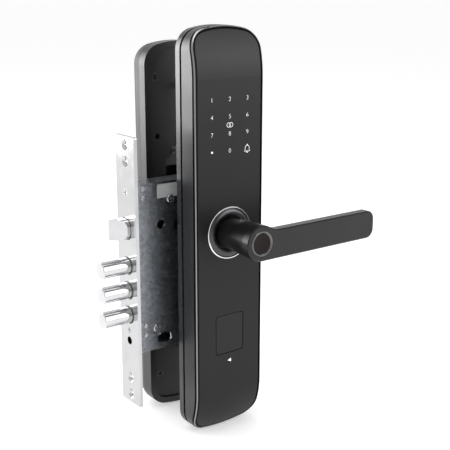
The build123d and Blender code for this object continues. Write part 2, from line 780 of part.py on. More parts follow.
def thumb_turn():
    """Privacy knob: a round base with a flat finger grip."""
    base = rod_y(0, thumb_z, 14, inside_back + 0.4, inside_back + 4)
    base = fillet(base.edges().filter_by(GeomType.CIRCLE).sort_by(Axis.Y)[-1], 1.2)
    grip = slab(rounded(8, 25, 3.9, 0, thumb_z), inside_back + 3, inside_back + 14)
    grip = fillet(grip.faces().sort_by(Axis.Y)[-1].edges(), 1.5)
    knob = base + grip + rod_y(0, thumb_z, 4.0, inside_back + 1, door + 12)
    return knob - slab(Pos(0, thumb_z) * Rectangle(5, 5), door + 12, inside_back - 2)


def thumb_spindle():
    """Square bar from the knob into the mortise case, with the privacy cam on its end."""
    bar = slab(Pos(0, thumb_z) * Rectangle(5, 5), mid + 1, inside_back - 2)
    bar += rod_y(0, thumb_z, 5.0, back_inside - 0.3, case_back)
    bar += rod_y(0, thumb_z, 6, mid + 2, back_inside - 0.3)
    return bar + box(-2.5, 2.5, mid + 2, back_inside - 0.3, thumb_z, thumb_z + 9)


# ---- write every node ---------------------------------------------------------------------------
save("outside_back_plate", outside_back_plate())
save("outside_seal", outside_seal())
save("outside_housing", outside_housing())
save("face_gasket", face_gasket())
save("face_rim", face_rim())
save("face_plate", face_plate())
save("touch_board", touch_board())
save("control_board", control_board())
save("rose", rose())
save("rose_ring", rose_ring())
save("outside_bearing", bearing(housing_front, -17.2, -18.6, 1.4))
save("outside_lever", outside_lever())
save("sensor_ring", sensor_ring())
save("fingerprint_sensor", fingerprint_sensor())
save("sensor_board", sensor_board())
save("outside_circlip", circlip(-16.6, -15.4))
save("outside_return_spring", neck_spring(-18, 1))
save("clutch_module", clutch_module())
save("key_well", key_well())
save("key_cover", key_cover())
save("key_cover_pin", key_pin_bore(0.55, 19.4))
save("cylinder_body", cylinder_body())
save("cylinder_plug", cylinder_plug())
save("key_tail", key_tail())
save("fixing_posts", *fixing_posts())
save("through_bolts", *through_bolts())

save("forend", forend())
save("forend_screws", *forend_screws())
save("forend_blocks", *forend_blocks())
save("case_tray", case_tray())
save("case_cover", case_cover())
save("case_screws", *case_screws())
save("case_rivets", *case_rivets())
save("case_label", case_label())
save("latch_bolt", latch_bolt())
save("latch_spring", latch_spring())
for name, height in zip(("top", "middle", "bottom"), bolt_heights):
    save(f"deadbolt_{name}", deadbolt(height))
save("bolt_carriage", bolt_carriage())
save("stop_pin", stop_pin())
save("follower", follower())
save("spindle", spindle())

save("inside_housing", inside_housing())
save("battery_cover", battery_cover())
save("mounting_plate", mounting_plate())
save("plate_screws", *plate_screws())
save("inside_board", inside_board())
save("battery_holder", battery_holder())
save("batteries", *batteries())
save("battery_contacts", *battery_contacts())
save("link_cable", link_cable())
save("inside_rose", inside_rose())
save("inside_bearing", bearing(door + 18.8, inside_back, door + 18.8, 1.4))
save("inside_lever", inside_lever())
save("inside_circlip", circlip(door + 16.6, door + 17.8))
save("thumb_turn", thumb_turn())
save("thumb_spindle", thumb_spindle())
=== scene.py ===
import math

import bmesh
import bpy
from mathutils import Matrix, Vector


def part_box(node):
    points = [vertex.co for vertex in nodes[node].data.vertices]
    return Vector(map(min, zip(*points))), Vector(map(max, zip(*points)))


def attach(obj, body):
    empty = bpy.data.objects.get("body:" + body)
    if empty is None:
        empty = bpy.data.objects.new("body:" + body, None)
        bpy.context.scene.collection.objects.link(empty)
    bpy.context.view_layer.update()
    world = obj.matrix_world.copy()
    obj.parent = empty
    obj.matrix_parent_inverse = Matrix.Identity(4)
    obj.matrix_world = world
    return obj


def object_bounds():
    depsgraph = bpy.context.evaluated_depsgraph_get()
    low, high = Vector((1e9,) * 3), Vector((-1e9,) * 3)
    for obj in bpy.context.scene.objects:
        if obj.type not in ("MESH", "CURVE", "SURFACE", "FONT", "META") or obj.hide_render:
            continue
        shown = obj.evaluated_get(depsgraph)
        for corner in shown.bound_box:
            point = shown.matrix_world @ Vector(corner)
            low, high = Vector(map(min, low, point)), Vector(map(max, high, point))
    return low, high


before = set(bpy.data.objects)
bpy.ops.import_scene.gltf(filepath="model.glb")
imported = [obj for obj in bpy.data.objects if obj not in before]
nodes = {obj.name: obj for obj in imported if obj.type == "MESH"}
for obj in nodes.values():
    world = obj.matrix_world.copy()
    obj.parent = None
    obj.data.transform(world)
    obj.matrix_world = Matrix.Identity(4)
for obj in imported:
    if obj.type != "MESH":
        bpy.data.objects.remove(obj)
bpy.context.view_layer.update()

# ---- outside castings -----------------------------------------------------------------------------
# The flange against the door and the shell in front of it are zinc die castings under a satin
# powder coat. The coat has a fine orange peel, a faint cloudiness and a few rubbed marks.


def socket(group, name, kind, way, value=None):
    """Adds one named input or output to a node group."""
    item = group.interface.new_socket(name=name, in_out=way, socket_type=kind)
    if value is not None:
        item.default_value = value
    return item


def add(tree, kind, **settings):
    """Adds one node to a tree with its settings."""
    node = tree.nodes.new(kind)
    for name, value in settings.items():
        setattr(node, name, value)
    return node


def feed(tree, entry, value):
    """Links a socket to an input, or sets the input to a plain value."""
    if hasattr(value, "links"):
        tree.links.new(value, entry)
    else:
        entry.default_value = value


def maths(tree, operation, a, b=None, clamp=False):
    """A math node on one or two values or sockets."""
    node = add(tree, "ShaderNodeMath", operation=operation, use_clamp=clamp)
    feed(tree, node.inputs[0], a)
    if b is not None:
        feed(tree, node.inputs[1], b)
    return node.outputs[0]


def mixed(tree, factor, a, b):
    """Colour a where factor is 0 and colour b where it is 1."""
    node = add(tree, "ShaderNodeMix", data_type="RGBA")
    for place, value in ((0, factor), (6, a), (7, b)):
        feed(tree, node.inputs[place], value)
    return node.outputs[2]


def noise(tree, vector, scale, detail=3.0, rough=0.55):
    """A noise pattern of a scale given as a value or a socket."""
    node = add(tree, "ShaderNodeTexNoise")
    tree.links.new(vector, node.inputs["Vector"])
    feed(tree, node.inputs["Scale"], scale)
    node.inputs["Detail"].default_value = detail
    node.inputs["Roughness"].default_value = rough
    return node.outputs["Fac"]


def spread(tree, value, low, high, out_low=0.0, out_high=1.0):
    """Stretches the range from low to high over the output's range."""
    node = add(tree, "ShaderNodeMapRange")
    tree.links.new(value, node.inputs["Value"])
    for name, number in zip(("From Min", "From Max", "To Min", "To Max"), (low, high, out_low, out_high)):
        feed(tree, node.inputs[name], number)
    return node.outputs["Result"]


def make_skin_group():
    """Clouds, grain and rubbed marks of a coated or moulded surface."""
    tree = bpy.data.node_groups.new("skin", "ShaderNodeTree")
    socket(tree, "Vector", "NodeSocketVector", "INPUT")
    socket(tree, "Grain Scale", "NodeSocketFloat", "INPUT", 1800.0)
    socket(tree, "Cloud Scale", "NodeSocketFloat", "INPUT", 18.0)
    socket(tree, "Marks", "NodeSocketFloat", "INPUT", 0.3)
    socket(tree, "Colour", "NodeSocketColor", "INPUT", (0.02, 0.02, 0.02, 1))
    socket(tree, "Rubbed Colour", "NodeSocketColor", "INPUT", (0.04, 0.04, 0.04, 1))
    socket(tree, "Smooth", "NodeSocketFloat", "INPUT", 0.38)
    socket(tree, "Rough", "NodeSocketFloat", "INPUT", 0.5)
    socket(tree, "Colour", "NodeSocketColor", "OUTPUT")
    socket(tree, "Roughness", "NodeSocketFloat", "OUTPUT")
    socket(tree, "Height", "NodeSocketFloat", "OUTPUT")
    ends = add(tree, "NodeGroupInput").outputs
    out = add(tree, "NodeGroupOutput").inputs
    clouds = noise(tree, ends["Vector"], ends["Cloud Scale"], 4.0)
    grain = noise(tree, ends["Vector"], ends["Grain Scale"], 2.0, 0.7)
    stretch = add(tree, "ShaderNodeMapping")
    stretch.inputs["Rotation"].default_value = (0.3, 0.7, 0.2)
    stretch.inputs["Scale"].default_value = (1.0, 1.0, 0.12)
    tree.links.new(ends["Vector"], stretch.inputs["Vector"])
    lines = spread(tree, noise(tree, stretch.outputs[0], 900.0, 2.0, 0.8), 0.66, 0.74)
    patches = spread(tree, noise(tree, ends["Vector"], 60.0, 2.0), 0.55, 0.75)
    marks = maths(tree, "MULTIPLY", maths(tree, "MULTIPLY", lines, patches), ends["Marks"], True)
    tone = spread(tree, clouds, 0.3, 0.7)
    half = maths(tree, "ADD", maths(tree, "MULTIPLY", tone, 0.35), maths(tree, "MULTIPLY", marks, 0.6), True)
    tree.links.new(mixed(tree, half, ends["Colour"], ends["Rubbed Colour"]), out["Colour"])
    sheen = spread(tree, maths(tree, "ADD", tone, maths(tree, "MULTIPLY", grain, 0.3)), 0.0, 1.3,
                   ends["Smooth"], ends["Rough"])
    tree.links.new(maths(tree, "SUBTRACT", sheen, maths(tree, "MULTIPLY", marks, 0.1)), out["Roughness"])
    relief = maths(tree, "SUBTRACT", grain, maths(tree, "MULTIPLY", marks, 0.5))
    tree.links.new(relief, out["Height"])
    return tree


skin = make_skin_group()


def start_material(name, metallic=0.0, relief=0.00001):
    """A material with its Principled shader, a bump node and the piece's own coordinates."""
    material = bpy.data.materials.new(name)
    material.use_nodes = True
    tree = material.node_tree
    shader = tree.nodes["Principled BSDF"]
    shader.inputs["Metallic"].default_value = metallic
    bump = add(tree, "ShaderNodeBump")
    bump.inputs["Strength"].default_value = 1.0
    bump.inputs["Distance"].default_value = relief
    tree.links.new(bump.outputs["Normal"], shader.inputs["Normal"])
    place = add(tree, "ShaderNodeTexCoord").outputs["Object"]
    return material, tree, shader, bump, place


def dress(parts, group_tree, values):
    """Places a finish group in a material with its values and joins it to the shader."""
    material, tree, shader, bump, place = parts
    group = add(tree, "ShaderNodeGroup", node_tree=group_tree)
    tree.links.new(place, group.inputs["Vector"])
    for key, value in values:
        group.inputs[key].default_value = value
    tree.links.new(group.outputs["Colour"], shader.inputs["Base Color"])
    tree.links.new(group.outputs["Roughness"], shader.inputs["Roughness"])
    tree.links.new(group.outputs["Height"], bump.inputs["Height"])
    return material


def skinned(name, colour, rubbed, smooth, rough, relief=0.00001, grain=1800.0, cloud=18.0, marks=0.3,
            metallic=0.0, gloss=0.5):
    """A coated, moulded or plated finish made with the skin group."""
    parts = start_material(name, metallic, relief)
    parts[2].inputs["Specular IOR Level"].default_value = gloss
    return dress(parts, skin, (("Grain Scale", grain), ("Cloud Scale", cloud), ("Marks", marks),
                               ("Smooth", smooth), ("Rough", rough), ("Colour", (*colour, 1)),
                               ("Rubbed Colour", (*rubbed, 1))))


def finish_nodes(material, *names):
    """Gives CAD nodes a finish."""
    for name in names:
        mesh = nodes[name]
        if not mesh.material_slots:
            mesh.data.materials.append(None)
        for place in mesh.material_slots:
            place.material = material


powder_coat = skinned("powder_coat", (0.008, 0.008, 0.0085), (0.022, 0.022, 0.023), 0.3, 0.42, 0.000012)
finish_nodes(powder_coat, "outside_housing")
flange_coat = skinned("flange_coat", (0.012, 0.012, 0.013), (0.035, 0.035, 0.036), 0.22, 0.34, 0.000008)
finish_nodes(flange_coat, "outside_back_plate")

# ---- seals ----------------------------------------------------------------------------------------
# Two black rubber strips go round the outside unit: one between the flange and the shell, and one
# under the bright rim. Both are cut from sheet and have a matt, slightly dusty skin. Their near-black
# colour and very low gloss are also painted shade for the shadow gaps at these joints.

# Painted shade: the strips are made almost black and barely glossy so they read as the shadow in the gaps.
seal_rubber_and_gap_shade = skinned("seal_rubber_and_gap_shade", (0.002, 0.002, 0.002), (0.008, 0.008, 0.008), 0.75, 0.95, 0.00002,
                      grain=2600.0, cloud=40.0, marks=0.1, gloss=0.12)
finish_nodes(seal_rubber_and_gap_shade, "outside_seal", "face_gasket")

# ---- rim ------------------------------------------------------------------------------------------
# A drawn frame with a bevelled edge lies round the face plate. It is plated and polished, with
# hairlines from the buffing wheel along its length.


def make_buffed_group():
    """Hairlines of buffing or rolling that run along one direction, with dull smears."""
    tree = bpy.data.node_groups.new("buffed", "ShaderNodeTree")
    socket(tree, "Vector", "NodeSocketVector", "INPUT")
    socket(tree, "Along", "NodeSocketVector", "INPUT", (1.0, 1.0, 0.02))
    socket(tree, "Line Scale", "NodeSocketFloat", "INPUT", 3000.0)
    socket(tree, "Colour", "NodeSocketColor", "INPUT", (0.8, 0.8, 0.8, 1))
    socket(tree, "Dull Colour", "NodeSocketColor", "INPUT", (0.6, 0.6, 0.6, 1))
    socket(tree, "Smooth", "NodeSocketFloat", "INPUT", 0.08)
    socket(tree, "Rough", "NodeSocketFloat", "INPUT", 0.25)
    socket(tree, "Colour", "NodeSocketColor", "OUTPUT")
    socket(tree, "Roughness", "NodeSocketFloat", "OUTPUT")
    socket(tree, "Height", "NodeSocketFloat", "OUTPUT")
    ends = add(tree, "NodeGroupInput").outputs
    out = add(tree, "NodeGroupOutput").inputs
    scaled = add(tree, "ShaderNodeVectorMath", operation="MULTIPLY")
    tree.links.new(ends["Vector"], scaled.inputs[0])
    tree.links.new(ends["Along"], scaled.inputs[1])
    lines = noise(tree, scaled.outputs[0], ends["Line Scale"], 3.0, 0.7)
    smears = noise(tree, ends["Vector"], 55.0, 4.0, 0.6)
    dull = spread(tree, smears, 0.45, 0.75)
    factor = maths(tree, "ADD", maths(tree, "MULTIPLY", lines, 0.3), maths(tree, "MULTIPLY", dull, 0.5), True)
    tree.links.new(mixed(tree, factor, ends["Colour"], ends["Dull Colour"]), out["Colour"])
    tree.links.new(spread(tree, factor, 0.0, 0.8, ends["Smooth"], ends["Rough"]), out["Roughness"])
    tree.links.new(lines, out["Height"])
    return tree


buffed = make_buffed_group()


def metal(name, colour, dull, smooth, rough, along=(1.0, 1.0, 0.02), relief=0.000002, lines=3000.0):
    """A bare or plated metal with directional hairlines."""
    return dress(start_material(name, 1.0, relief), buffed,
                 (("Along", along), ("Line Scale", lines), ("Smooth", smooth), ("Rough", rough),
                  ("Colour", (*colour, 1)), ("Dull Colour", (*dull, 1))))


rim_plating = metal("rim_plating", (0.006, 0.006, 0.0065), (0.012, 0.012, 0.0125), 0.3, 0.42)


def brighten_bevel(material, bevel_colour, flat_side=0.5, flat_front=0.84):
    """Polishes the bevel through to bright metal: the faces that look half forward, half sideways."""
    tree = material.node_tree
    shader = tree.nodes["Principled BSDF"]
    plated = shader.inputs["Base Color"].links[0].from_socket
    facing = add(tree, "ShaderNodeSeparateXYZ")
    tree.links.new(add(tree, "ShaderNodeNewGeometry").outputs["True Normal"], facing.inputs[0])
    forward = maths(tree, "MULTIPLY", facing.outputs[1], -1.0)
    inner = maths(tree, "GREATER_THAN", forward, flat_side)
    outer = maths(tree, "LESS_THAN", forward, flat_front)
    bevel = maths(tree, "MULTIPLY", inner, outer)
    tree.links.new(mixed(tree, bevel, plated, (*bevel_colour, 1)), shader.inputs["Base Color"])


brighten_bevel(rim_plating, (0.24, 0.24, 0.245))
finish_nodes(rim_plating, "face_rim")

# ---- face plate -----------------------------------------------------------------------------------
# The front is one dark coated sheet that rolls back at both ends. Its satin lacquer is smoother
# than the castings, with a very fine grain and a trace of finger marks round the keypad.

face_lacquer = skinned("face_lacquer", (0.0055, 0.0053, 0.0056), (0.0105, 0.01, 0.0104), 0.34, 0.42, 0.000004,
                       grain=3200.0, cloud=14.0, marks=0.15, gloss=0.25)
finish_nodes(face_lacquer, "face_plate")

# ---- keypad legend --------------------------------------------------------------------------------
# The digits and signs are light fields printed on the back of the sheet and lit through it. They
# stand here as a skin a few hundredths of a millimetre thick on the face plate.

face_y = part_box("face_plate")[0].y
key_pitch = (0.0183, 0.0143)
top_row = 0.1138
key_rows = [top_row - key_pitch[1] * i for i in range(4)]
key_columns = [key_pitch[0] * i for i in (-1, 0, 1)]
print_thick = 0.00004
print_depth = 0.00002
digit_height = 0.0052
line_width = 0.00034


def flat_shape(faces_2d):
    """A bmesh of flat prisms from outlines in X and Z on the face plate."""
    shape = bmesh.new()
    for outline in faces_2d:
        front = [shape.verts.new((x, face_y - print_thick, z)) for x, z in outline]
        back = [shape.verts.new((x, face_y + print_depth, z)) for x, z in outline]
        shape.faces.new(front)
        shape.faces.new(list(reversed(back)))
        for i in range(len(outline)):
            j = (i + 1) % len(outline)
            shape.faces.new((front[j], front[i], back[i], back[j]))
    bmesh.ops.recalc_face_normals(shape, faces=shape.faces)
    return shape


def stroke(points, width, closed=False):
    """Quadrilaterals that follow a line of points with the given width."""
    quads = []
    count = len(points)
    sides = []
    for i, point in enumerate(points):
        before = points[i - 1] if closed or i else point
        after = points[(i + 1) % count] if closed or i < count - 1 else point
        along = Vector((after[0] - before[0], after[1] - before[1])).normalized()
        across = Vector((-along.y, along.x)) * width / 2
        sides.append(((point[0] + across.x, point[1] + across.y), (point[0] - across.x, point[1] - across.y)))
    for i in range(count if closed else count - 1):
        a, b = sides[i], sides[(i + 1) % count]
        quads.append([a[0], a[1], b[1], b[0]])
    return quads


def arc(x, z, radius, start, stop, steps):
    """Points on an arc about x, z from one angle to another, in degrees."""
    return [(x + radius * math.cos(math.radians(start + (stop - start) * i / steps)),
             z + radius * math.sin(math.radians(start + (stop - start) * i / steps)))
            for i in range(steps + 1)]


def object_from(name, shape, material, body, smooth=False):
    """Turns a bmesh into a named piece that rides on a body."""
    mesh = bpy.data.meshes.new(name)
    shape.to_mesh(mesh)
    shape.free()
    mesh.materials.append(material)
    for face in mesh.polygons:
        face.use_smooth = smooth
    piece = bpy.data.objects.new(name, mesh)
    bpy.context.scene.collection.objects.link(piece)
    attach(piece, body)
    return piece


def glyph_mesh(text, size, x, z):
    """One digit as a thin mesh on the face plate, centred on a point."""
    curve = bpy.data.curves.new("digit_" + text, "FONT")
    curve.body = text
    curve.size = size
    curve.align_x = "CENTER"
    curve.extrude = print_thick / 2
    curve.offset = -size * 0.024
    maker = bpy.data.objects.new("digit_maker", curve)
    bpy.context.scene.collection.objects.link(maker)
    bpy.context.view_layer.update()
    mesh = bpy.data.meshes.new_from_object(maker.evaluated_get(bpy.context.evaluated_depsgraph_get()))
    bpy.data.objects.remove(maker)
    top = max(v.co.y for v in mesh.vertices)
    low = min(v.co.y for v in mesh.vertices)
    place = Matrix.Translation((x, face_y - print_thick / 2, z - (top + low) / 2))
    mesh.transform(place @ Matrix.Rotation(math.radians(90), 4, "X"))
    return mesh


def make_legend_material():
    """Pale printed ink that is lit a little from behind."""
    material, tree, shader, bump, place = start_material("legend_light", 0.0, 0.000001)
    cells = noise(tree, place, 900.0, 2.0)
    tone = mixed(tree, spread(tree, cells, 0.3, 0.7), (0.72, 0.74, 0.76, 1), (0.95, 0.96, 1.0, 1))
    tree.links.new(tone, shader.inputs["Base Color"])
    tree.links.new(tone, shader.inputs["Emission Color"])
    tree.links.new(spread(tree, cells, 0.3, 0.7, 0.35, 0.5), shader.inputs["Roughness"])
    tree.links.new(cells, bump.inputs["Height"])
    shader.inputs["Emission Strength"].default_value = 0.45
    return material


legend_light = make_legend_material()
bell_x, bell_z = key_columns[2], key_rows[3]
bell = arc(bell_x, bell_z + 0.0005, 0.0021, 0, 180, 14)
bell_line = [(bell_x + 0.0031, bell_z - 0.0023), (bell_x + 0.0021, bell_z - 0.0012)] + bell
bell_line += [(bell_x - 0.0021, bell_z - 0.0012), (bell_x - 0.0031, bell_z - 0.0023)]
signs = stroke(bell_line, line_width, closed=True)
signs += stroke(arc(bell_x, bell_z - 0.0026, 0.0009, 190, 350, 8), 0.0004)
signs += stroke([(bell_x, bell_z + 0.0026), (bell_x, bell_z + 0.0036)], 0.0008)
card_z = (key_rows[1] + key_rows[2]) / 2
for offset in (-0.0012, 0.0012):
    signs += stroke(arc(offset, card_z, 0.0019, 0, 345, 23), 0.0003, closed=True)
for turn in range(4):
    way = math.radians(45 * turn)
    step = Vector((0.001 * math.cos(way), 0.001 * math.sin(way)))
    signs += stroke([(key_columns[0] - step.x, key_rows[3] - step.y),
                     (key_columns[0] + step.x, key_rows[3] + step.y)], line_width)
legend = flat_shape(signs)
for row, digits in zip(key_rows, ("123", "456", "789", " 0 ")):
    for column, digit in zip(key_columns, digits):
        if digit != " ":
            legend.from_mesh(glyph_mesh(digit, digit_height, column, row))
object_from("keypad_legend", legend, legend_light, "lock")

# ---- rose and its ring ----------------------------------------------------------------------------
# A convex turned ring covers the lever's bearing. It is satin plated in dark grey with the rings of
# the lathe still to be felt, and a polished wire ring closes its edge.


def make_turned_group():
    """Rings of a lathe about an axis along Y through a centre, with soft clouds over them."""
    tree = bpy.data.node_groups.new("turned_rings", "ShaderNodeTree")
    socket(tree, "Vector", "NodeSocketVector", "INPUT")
    socket(tree, "Centre", "NodeSocketVector", "INPUT", (0.0, 0.0, 0.0))
    socket(tree, "Ring Scale", "NodeSocketFloat", "INPUT", 2500.0)
    socket(tree, "Colour", "NodeSocketColor", "INPUT", (0.2, 0.2, 0.2, 1))
    socket(tree, "Bright Colour", "NodeSocketColor", "INPUT", (0.3, 0.3, 0.3, 1))
    socket(tree, "Smooth", "NodeSocketFloat", "INPUT", 0.25)
    socket(tree, "Rough", "NodeSocketFloat", "INPUT", 0.4)
    socket(tree, "Colour", "NodeSocketColor", "OUTPUT")
    socket(tree, "Roughness", "NodeSocketFloat", "OUTPUT")
    socket(tree, "Height", "NodeSocketFloat", "OUTPUT")
    ends = add(tree, "NodeGroupInput").outputs
    out = add(tree, "NodeGroupOutput").inputs
    moved = add(tree, "ShaderNodeVectorMath", operation="SUBTRACT")
    tree.links.new(ends["Vector"], moved.inputs[0])
    tree.links.new(ends["Centre"], moved.inputs[1])
    flat = add(tree, "ShaderNodeVectorMath", operation="MULTIPLY")
    tree.links.new(moved.outputs[0], flat.inputs[0])
    flat.inputs[1].default_value = (1.0, 0.0, 1.0)
    length = add(tree, "ShaderNodeVectorMath", operation="LENGTH")
    tree.links.new(flat.outputs[0], length.inputs[0])
    radius = add(tree, "ShaderNodeCombineXYZ")
    tree.links.new(length.outputs["Value"], radius.inputs[0])
    rings = noise(tree, radius.outputs[0], ends["Ring Scale"], 2.0, 0.7)
    clouds = noise(tree, ends["Vector"], 90.0, 3.0)
    factor = maths(tree, "ADD", maths(tree, "MULTIPLY", rings, 0.5),
                   maths(tree, "MULTIPLY", clouds, 0.5), True)
    tree.links.new(mixed(tree, factor, ends["Colour"], ends["Bright Colour"]), out["Colour"])
    tree.links.new(spread(tree, factor, 0.2, 0.8, ends["Smooth"], ends["Rough"]), out["Roughness"])
    tree.links.new(rings, out["Height"])
    return tree


turned_rings = make_turned_group()


def lathed(name, colour, bright, smooth, rough, centre=(0.0, 0.0, 0.0), scale=2500.0, relief=0.000004,
           metallic=1.0, gloss=0.5):
    """A finish with lathe rings round a centre."""
    parts = start_material(name, metallic, relief)
    parts[2].inputs["Specular IOR Level"].default_value = gloss
    return dress(parts, turned_rings,
                 (("Centre", centre), ("Ring Scale", scale), ("Smooth", smooth), ("Rough", rough),
                  ("Colour", (*colour, 1)), ("Bright Colour", (*bright, 1))))


rose_satin = lathed("rose_satin", (0.05, 0.05, 0.052), (0.09, 0.09, 0.095), 0.28, 0.42)
finish_nodes(rose_satin, "rose", "inside_rose")
ring_polish = lathed("ring_polish", (0.7, 0.7, 0.71), (0.85, 0.85, 0.86), 0.1, 0.2)
finish_nodes(ring_polish, "rose_ring")

# ---- levers ---------------------------------------------------------------------------------------
# Both levers are cast with their neck, ground smooth and powder coated in satin black. The coat is
# a little glossier than the shell's, and it is rubbed where a hand holds it.

lever_coat = skinned("lever_coat", (0.004, 0.004, 0.0042), (0.016, 0.016, 0.0165), 0.26, 0.36, 0.000014,
                     grain=1500.0, cloud=26.0, marks=0.5, gloss=0.36)
finish_nodes(lever_coat, "outside_lever", "inside_lever")
bush_plastic = skinned("bush_plastic", (0.03, 0.03, 0.03), (0.06, 0.06, 0.06), 0.5, 0.65, 0.000015)
finish_nodes(bush_plastic, "outside_bearing", "inside_bearing", "clutch_module", "key_well")

# ---- fingerprint sensor ---------------------------------------------------------------------------
# A round sensor lies in the head of the outside lever: a shallow dish of dark glass-like coating
# over the chip, in a polished ring that touches the finger.

sensor_gloss = lathed("sensor_gloss", (0.009, 0.006, 0.006), (0.016, 0.011, 0.011), 0.2, 0.32,
                      scale=3500.0, relief=0.000001, metallic=0.0, gloss=0.1)
finish_nodes(sensor_gloss, "fingerprint_sensor")
sensor_ring_polish = lathed("sensor_ring_polish", (0.1, 0.1, 0.1), (0.16, 0.16, 0.16), 0.14, 0.26)
finish_nodes(sensor_ring_polish, "sensor_ring")

# ---- key cover ------------------------------------------------------------------------------------
# A flush flap covers the keyhole and swings on a steel pin. It is moulded and lacquered like the
# face plate, and a small printed arrow under it points to the side that gives way.

cover_lacquer = skinned("cover_lacquer", (0.0075, 0.0075, 0.008), (0.014, 0.0135, 0.014), 0.34, 0.43,
                        0.000004, grain=3200.0, cloud=22.0, marks=0.2, gloss=0.25)
finish_nodes(cover_lacquer, "key_cover")
arrow_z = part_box("key_cover")[0].z - 0.0075
arrow_tip, arrow_foot, arrow_half = -0.0021, 0.0015, 0.0016
arrow = flat_shape([[(arrow_tip, arrow_z), (arrow_foot, arrow_z - arrow_half),
                     (arrow_foot, arrow_z + arrow_half)]])
object_from("cover_arrow", arrow, legend_light, "lock")

# ---- key cylinder ---------------------------------------------------------------------------------
# The cylinder's barrel and plug are turned from brass bar. Their faces show the lathe's rings, and
# the brass has darkened a little.

key_centre = (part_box("cylinder_plug")[0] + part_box("cylinder_plug")[1]) / 2
cylinder_brass = lathed("cylinder_brass", (0.42, 0.28, 0.1), (0.68, 0.5, 0.22), 0.22, 0.4,
                        centre=(key_centre.x, 0.0, key_centre.z))
finish_nodes(cylinder_brass, "cylinder_body", "cylinder_plug")

# ---- circuit boards and cable ---------------------------------------------------------------------
# The boards are glass-fibre laminate under a green solder mask, with copper tracks showing through
# it. A flat grey cable joins the two units.


def make_board_material():
    """Green solder mask with copper tracks under it."""
    material, tree, shader, bump, place = start_material("solder_mask", 0.0, 0.00003)
    tracks = add(tree, "ShaderNodeTexBrick")
    turn = add(tree, "ShaderNodeMapping")
    turn.inputs["Rotation"].default_value = (math.radians(90), 0, 0)
    tree.links.new(place, turn.inputs["Vector"])
    tree.links.new(turn.outputs[0], tracks.inputs["Vector"])
    tracks.inputs["Scale"].default_value = 260.0
    tracks.inputs["Mortar Size"].default_value = 0.03
    tracks.inputs["Color1"].default_value = (0.003, 0.018, 0.01, 1)
    tracks.inputs["Color2"].default_value = (0.004, 0.024, 0.012, 1)
    tracks.inputs["Mortar"].default_value = (0.008, 0.045, 0.022, 1)
    weave = noise(tree, place, 2400.0, 2.0)
    tone = mixed(tree, maths(tree, "MULTIPLY", weave, 0.4), tracks.outputs["Color"], (0.002, 0.012, 0.006, 1))
    tree.links.new(tone, shader.inputs["Base Color"])
    tree.links.new(spread(tree, weave, 0.3, 0.7, 0.3, 0.45), shader.inputs["Roughness"])
    tree.links.new(maths(tree, "ADD", tracks.outputs["Fac"], weave), bump.inputs["Height"])
    return material


finish_nodes(make_board_material(), "touch_board", "control_board", "sensor_board", "inside_board")
cable_skin = skinned("cable_skin", (0.09, 0.09, 0.095), (0.16, 0.16, 0.165), 0.5, 0.7, 0.00002)
finish_nodes(cable_skin, "link_cable")

# ---- forend ---------------------------------------------------------------------------------------
# The forend is a polished stainless strip, screwed to the case and let into the door's edge. It has
# faint hairlines along its length and a few smears.

forend_polish = metal("forend_polish", (0.5, 0.5, 0.505), (0.42, 0.42, 0.43), 0.12, 0.26)
finish_nodes(forend_polish, "forend")

# ---- mortise case ---------------------------------------------------------------------------------
# The tray and its side plate are pressed from zinc-coated sheet. The zinc has grown in large
# crystals, each catching the light in its own way, and it is scuffed by handling.


def make_zinc_material():
    """Hot-dip zinc: crystals of different grey and gloss with feathers in them."""
    material, tree, shader, bump, place = start_material("zinc_sheet", 1.0, 0.00001)
    warp = add(tree, "ShaderNodeTexNoise")
    warp.inputs["Scale"].default_value = 120.0
    tree.links.new(place, warp.inputs["Vector"])
    bent = add(tree, "ShaderNodeVectorMath", operation="MULTIPLY_ADD")
    tree.links.new(warp.outputs["Color"], bent.inputs[0])
    bent.inputs[1].default_value = (0.003, 0.003, 0.003)
    tree.links.new(place, bent.inputs[2])
    crystals = add(tree, "ShaderNodeTexVoronoi")
    crystals.inputs["Scale"].default_value = 420.0
    tree.links.new(bent.outputs[0], crystals.inputs["Vector"])
    split = add(tree, "ShaderNodeSeparateColor")
    tree.links.new(crystals.outputs["Color"], split.inputs[0])
    feathers = noise(tree, bent.outputs[0], 700.0, 4.0, 0.7)
    tone = maths(tree, "ADD", maths(tree, "MULTIPLY", split.outputs[0], 0.5),
                 maths(tree, "MULTIPLY", feathers, 0.5), True)
    grey = mixed(tree, tone, (0.16, 0.17, 0.19, 1), (0.36, 0.38, 0.41, 1))
    tree.links.new(grey, shader.inputs["Base Color"])
    tree.links.new(spread(tree, split.outputs[1], 0.0, 1.0, 0.3, 0.42), shader.inputs["Roughness"])
    tree.links.new(maths(tree, "ADD", maths(tree, "MULTIPLY", split.outputs[2], 0.5), feathers),
                   bump.inputs["Height"])
    return material


zinc_sheet = make_zinc_material()
finish_nodes(zinc_sheet, "case_tray", "case_cover", "bolt_carriage")
label_paper = skinned("label_paper", (0.42, 0.425, 0.43), (0.3, 0.305, 0.31), 0.55, 0.75, 0.00001,
                      grain=2500.0, marks=0.4)
finish_nodes(label_paper, "case_label")

# ---- screws, posts and levers of the lock ---------------------------------------------------------
# Screws, rivets, posts and the follower are turned or forged steel with bright zinc plating, which
# is a little dull and uneven.

zinc_plating = metal("zinc_plating", (0.5, 0.505, 0.51), (0.3, 0.305, 0.31), 0.2, 0.38, along=(1.0, 1.0, 1.0),
                     lines=700.0)
finish_nodes(zinc_plating, "forend_screws", "forend_blocks", "case_screws", "case_rivets",
             "follower", "spindle", "thumb_spindle", "key_tail", "fixing_posts", "through_bolts",
             "battery_contacts")
spring_wire = metal("spring_wire", (0.45, 0.45, 0.46), (0.25, 0.25, 0.25), 0.25, 0.45, along=(1.0, 1.0, 1.0),
                    lines=1500.0)
finish_nodes(spring_wire, "outside_return_spring", "latch_spring", "outside_circlip", "inside_circlip",
             "key_cover_pin")

